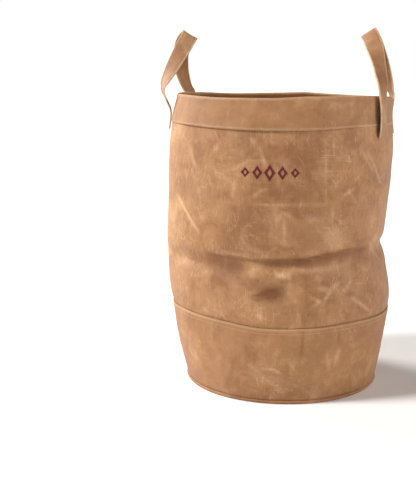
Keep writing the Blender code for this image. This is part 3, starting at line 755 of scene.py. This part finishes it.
def strap_stations(name):
    """Stations of a CAD strap, front foot first: its middle, and the direction across it."""
    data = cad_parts[name].data
    spots = np.empty(len(data.vertices) * 3)
    data.vertices.foreach_get("co", spots)
    lines, whole = lines_across(np.unique(np.round(spots.reshape(-1, 3), 6), axis=0))
    left = lines[whole]
    foot = np.where(left[:, 1] < 0, left[:, 2], np.inf)
    inward = np.where(foot < foot.min() + FACE_REACH, np.hypot(left[:, 0], left[:, 1]), np.inf)
    row = left[inward.argmin()]
    rows = [np.concatenate([row[:3], row[3:] * np.sign(row[4])])]
    left = left[np.linalg.norm(left[:, :3] - row[:3], axis=1) > FACE_REACH]
    while len(left):
        away = np.linalg.norm(left[:, :3] - rows[-1][:3], axis=1)
        rows.append(turned_like(left[away.argmin()], rows[-1]))
        left = left[np.linalg.norm(left[:, :3] - rows[-1][:3], axis=1) > FACE_REACH]
    rows = end_line(lines, rows[0], rows[1]) + rows + end_line(lines, rows[-1], rows[-2])
    rows = np.array(rows)
    facing = np.cross(np.gradient(rows[:, :3], axis=0), rows[:, 3:])
    facing /= np.linalg.norm(facing, axis=1, keepdims=True)
    facing *= np.sign(facing[0, :2] @ rows[0, :2])
    rows[:, :3] += facing * STRAP_THICKNESS / 2
    return rows[np.linspace(0, len(rows) - 1, STATIONS).round().astype(int)]


STRAPS = {name: strap_stations(name) for name in ("handle_left", "handle_right")}
# Half the strap's section, from one edge to the other over one face: across as a share of the
# width, and rise as a share of the half thickness.
Section = namedtuple("Section", "across rise")
STRAP_SECTION = (
    Section(-0.500, 0.00),
    Section(-0.494, 0.55),
    Section(-0.475, 0.92),
    Section(-0.440, 1.06),
    Section(-0.415, 0.85),
    Section(-0.400, 0.66),
    Section(-0.385, 0.80),
    Section(-0.340, 0.98),
    Section(-0.200, 1.00),
    Section(0.000, 1.00),
    Section(0.200, 1.00),
    Section(0.340, 0.98),
    Section(0.385, 0.80),
    Section(0.400, 0.66),
    Section(0.415, 0.85),
    Section(0.440, 1.06),
    Section(0.475, 0.92),
    Section(0.494, 0.55),
    Section(0.500, 0.00),
)


def strap_frames(rows, steps):
    """Middle points, across directions and outward normals along one strap, evenly spaced."""
    table = np.array(rows)
    at = np.linspace(0.0, len(rows) - 1.0, 900)
    first = np.minimum(at.astype(int), len(rows) - 2)
    part = (at - first)[:, None]
    slopes = np.gradient(table, axis=0)
    fine = table[first] * (1 + 2 * part) * (1 - part) ** 2 + slopes[first] * part * (1 - part) ** 2
    fine += table[first + 1] * (3 - 2 * part) * part**2 + slopes[first + 1] * (part - 1) * part**2
    gone = np.concatenate([[0.0], np.cumsum(np.linalg.norm(np.diff(fine[:, :3], axis=0), axis=1))])
    along = np.linspace(0.0, gone[-1], steps + 1)
    even = np.stack([np.interp(along, gone, fine[:, column]) for column in range(6)], axis=-1)
    middle = even[:, :3]
    ahead = np.gradient(middle, axis=0)
    ahead /= np.linalg.norm(ahead, axis=1, keepdims=True)
    across = even[:, 3:] - ahead * np.sum(even[:, 3:] * ahead, axis=1, keepdims=True)
    across /= np.linalg.norm(across, axis=1, keepdims=True)
    normal = np.cross(ahead, across)
    outward = np.array([middle[0, 0], middle[0, 1], 0.0])
    normal *= np.sign(normal[0] @ outward)
    return middle, across, normal, along


def sew_strap(name, rows):
    """Draw the strap's section along its middle line."""
    middle, across, normal, along = strap_frames(rows, STRAP_STEPS)
    section = [(step.across, step.rise) for step in STRAP_SECTION]
    section += [(step.across, -step.rise) for step in reversed(STRAP_SECTION[1:-1])]
    mesh = bmesh.new()
    pattern = mesh.loops.layers.uv.new("cloth")
    number = mesh.verts.layers.int.new("station")
    rank = mesh.verts.layers.int.new("rank")
    bmesh.ops.create_circle(mesh, segments=len(section), radius=1.0, cap_ends=True)
    for place, vert in enumerate(mesh.faces[:][0].verts):
        vert[rank] = place
    edges = mesh.edges[:]
    for step in range(STRAP_STEPS + 1):
        if step:
            raised = bmesh.ops.extrude_edge_only(mesh, edges=edges)["geom"]
            edges = [piece for piece in raised if isinstance(piece, bmesh.types.BMEdge)]
            edges = [edge for edge in edges if len(edge.link_faces) == 1]
        for vert in {vert for edge in edges for vert in edge.verts}:
            share, rise = section[vert[rank]]
            spot = middle[step] + across[step] * STRAP_WIDTH * share
            vert.co = spot + normal[step] * STRAP_THICKNESS / 2 * rise
            vert[number] = step
    bmesh.ops.holes_fill(mesh, edges=edges, sides=0)
    bmesh.ops.recalc_face_normals(mesh, faces=mesh.faces)
    for face in mesh.faces:
        for corner in face.loops:
            share, rise = section[corner.vert[rank]]
            spare = 0.04 if rise < 0 else 0.0
            corner[pattern].uv = (share * STRAP_WIDTH + spare, along[corner.vert[number]])
    strap = link(name + "_strap", mesh)
    ranks = np.empty(len(strap.data.vertices), dtype=int)
    strap.data.attributes["rank"].data.foreach_get("value", ranks)
    shares = np.array(section)[ranks]
    # The strap is made paler along both its edges.
    pale_edges = 0.85 * np.exp(-(((0.5 - np.abs(shares[:, 0])) / 0.060) ** 2))
    mark = strap.data.attributes.new("wear", "FLOAT", "POINT")
    mark.data.foreach_set("value", pale_edges)
    return strap


STRAP_CANVAS = waxed_canvas(
    "strap_canvas",
    ((0.262, 0.114, 0.043, 1.0), (0.338, 0.165, 0.072, 1.0), (0.405, 0.216, 0.102, 1.0)),
    (0.680, 0.480, 0.310, 1.0),
    0.04,
)

for name, rows in STRAPS.items():
    strap = sew_strap(name, rows)
    strap.data.materials.append(STRAP_CANVAS)
    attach(strap, "root")
    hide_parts(name)

# Stitching: waxed polyester thread in lock stitches, one row along the hem, two under the top
# edge of the lower band, two down the felled seam at the back, and rows round each strap.
STITCH_LENGTH = 0.0031
STITCH_PITCH = 0.0040
THREAD_RADIUS = 0.00042
THREAD_SEAT = 0.0001
FOOT_ROWS = (0.0035, 0.036)

thread = bpy.data.materials.new("canvas_thread")
thread.use_nodes = True
thread_surface = thread.node_tree.nodes["Principled BSDF"]
thread_surface.inputs["Base Color"].default_value = (0.47, 0.29, 0.165, 1.0)
thread_surface.inputs["Roughness"].default_value = 0.6
thread_surface.inputs["Sheen Weight"].default_value = 0.2

stitch_mesh = bmesh.new()
bmesh.ops.create_uvsphere(stitch_mesh, u_segments=6, v_segments=4, radius=1.0)
stitch_form = bpy.data.meshes.new("stitch_form")
stitch_mesh.to_mesh(stitch_form)
stitch_mesh.free()
ROUND = np.array([vert.co[:] for vert in stitch_form.vertices])


def add_stitch(mesh, start, end, normal, radius):
    """Lay one stitch between two points, a little sunk at its ends."""
    run = Vector(end) - Vector(start)
    side = Vector(normal).cross(run).normalized() * radius * 1.25
    up = run.cross(side).normalized() * radius * 0.8
    spots = ROUND @ np.array([side, up, run / 2]) + (np.asarray(start) + np.asarray(end)) / 2
    stitch_form.vertices.foreach_set("co", spots.ravel())
    mesh.from_mesh(stitch_form)


def stitch_path(mesh, points, normals):
    """Sew a row of stitches along a line of points."""
    points = np.asarray(points)
    normals = np.asarray(normals)
    gone = np.concatenate([[0.0], np.cumsum(np.linalg.norm(np.diff(points, axis=0), axis=1))])
    count = int(gone[-1] / STITCH_PITCH)
    for index in range(count):
        ends = np.array([index, index + STITCH_LENGTH / STITCH_PITCH]) * gone[-1] / count
        spots = [[np.interp(end, gone, points[:, axis]) for axis in range(3)] for end in ends]
        facing = [np.interp(ends[0], gone, normals[:, axis]) for axis in range(3)]
        add_stitch(mesh, spots[0], spots[1], facing, THREAD_RADIUS)


def finish_stitches(name, mesh):
    item = link(name, mesh)
    item.data.materials.append(thread)
    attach(item, "root")


TURN = np.linspace(-pi, pi, 721)
OUTWARD = np.stack([np.sin(TURN), -np.cos(TURN), np.zeros_like(TURN)], axis=-1)

hem_mesh = bmesh.new()
hem = around(HEM_LINE, TURN) + 0.0032
hem_lift = OUTER_SKIN + BAND_THICKNESS + 0.8 * HEM_LIFT * np.exp(-((TURN / LIFT_SPREAD) ** 2))
hem_radius = cloth_reach(TURN, hem) + band_relief(TURN, hem) + hem_lift + THREAD_SEAT
hem_points = OUTWARD * hem_radius[:, None] + np.stack([0 * hem, 0 * hem, hem], axis=-1)
stitch_path(hem_mesh, hem_points, OUTWARD)
finish_stitches("hem_stitches", hem_mesh)

band_mesh = bmesh.new()
for drop in (0.0026, 0.0098):
    height = around(BAND_LINE, TURN) - drop
    fold = TURNED_LIFT * np.exp(-((drop / TURNED_WIDTH) ** 2))
    points = cloth_places(TURN, height, OUTER_SKIN + BAND_THICKNESS + fold + THREAD_SEAT)
    stitch_path(band_mesh, points, OUTWARD)
finish_stitches("lower_band_stitches", band_mesh)

back_mesh = bmesh.new()
for side in (-1, 1):
    rise = np.linspace(0.160, 0.494, 160)
    azimuth = np.full_like(rise, side * (pi - 0.0045 / CLOTH_RADIUS))
    normals = np.stack([np.sin(azimuth), -np.cos(azimuth), 0 * rise], axis=-1)
    stitch_path(back_mesh, cloth_places(azimuth, rise, 0.0002), normals)
finish_stitches("back_seam_stitches", back_mesh)

strap_mesh = bmesh.new()
for name, rows in STRAPS.items():
    middle, across, normal, along = strap_frames(rows, STRAP_STEPS)
    for edge in (-1, 1):
        shift = across * (STRAP_WIDTH / 2 - STITCH_INSET) * edge
        for face in (-1, 1):
            lift = normal * face * STRAP_THICKNESS / 2 * 0.80
            stitch_path(strap_mesh, middle + shift + lift, normal * face)
    for foot in (slice(None), slice(None, None, -1)):
        spots, sides, faces, gone = middle[foot], across[foot], normal[foot], along
        for rise in FOOT_ROWS:
            index = int(np.argmin(np.abs(gone - rise)))
            half = sides[index] * (STRAP_WIDTH / 2 - STITCH_INSET)
            start = spots[index] + faces[index] * STRAP_THICKNESS / 2
            line = np.linspace(start - half, start + half, 12)
            stitch_path(strap_mesh, line, np.repeat(faces[index][None, :], 12, axis=0))
finish_stitches("strap_stitches", strap_mesh)

# The ornament: a row of plain lozenges worked in satin stitch, in dark red embroidery thread,
# each one padded so that its threads stand a little proud of the canvas.
ORNAMENT_AZIMUTH = radians(6.0)
ORNAMENT_HEIGHT = 0.4265
ORNAMENT_PITCH = 0.0215
SATIN_SPACING = 0.00062
SATIN_RADIUS = 0.00040
# Each lozenge as its place in the row, its half width and its half height.
Lozenge = namedtuple("Lozenge", "place half_width half_height")
LOZENGES = (
    Lozenge(-2.0, 0.0075, 0.0085),
    Lozenge(-1.0, 0.0085, 0.0120),
    Lozenge(0.0, 0.0095, 0.0150),
    Lozenge(1.0, 0.0085, 0.0120),
    Lozenge(2.0, 0.0075, 0.0085),
)

satin_mesh = bmesh.new()
for lozenge in LOZENGES:
    lines = np.arange(-lozenge.half_width, lozenge.half_width + 1e-6, SATIN_SPACING)
    for line in lines:
        azimuth = ORNAMENT_AZIMUTH + (lozenge.place * ORNAMENT_PITCH + line) / CLOTH_RADIUS
        reach = lozenge.half_height * (1 - abs(line) / lozenge.half_width) + 0.0006
        inner = max(0.0, lozenge.half_height * (0.42 - abs(line) / lozenge.half_width))
        spans = ((-reach, -inner), (inner, reach)) if inner > 0.0008 else ((-reach, reach),)
        for low, high in spans:
            turn = np.full(2, azimuth)
            rise = ORNAMENT_HEIGHT + np.array([low, high])
            ends = cloth_places(turn, rise, 0.0003)
            facing = (sin(azimuth), -cos(azimuth), 0.0)
            add_stitch(satin_mesh, ends[0], ends[1], facing, SATIN_RADIUS)
ornament = link("satin_lozenges", satin_mesh)
satin = bpy.data.materials.new("red_satin_thread")
satin.use_nodes = True
satin_surface = satin.node_tree.nodes["Principled BSDF"]
satin_surface.inputs["Base Color"].default_value = (0.120, 0.010, 0.010, 1.0)
satin_surface.inputs["Roughness"].default_value = 0.45
satin_surface.inputs["Specular IOR Level"].default_value = 0.3
ornament.data.materials.append(satin)
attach(ornament, "root")

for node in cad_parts.values():
    node.data.materials.clear()
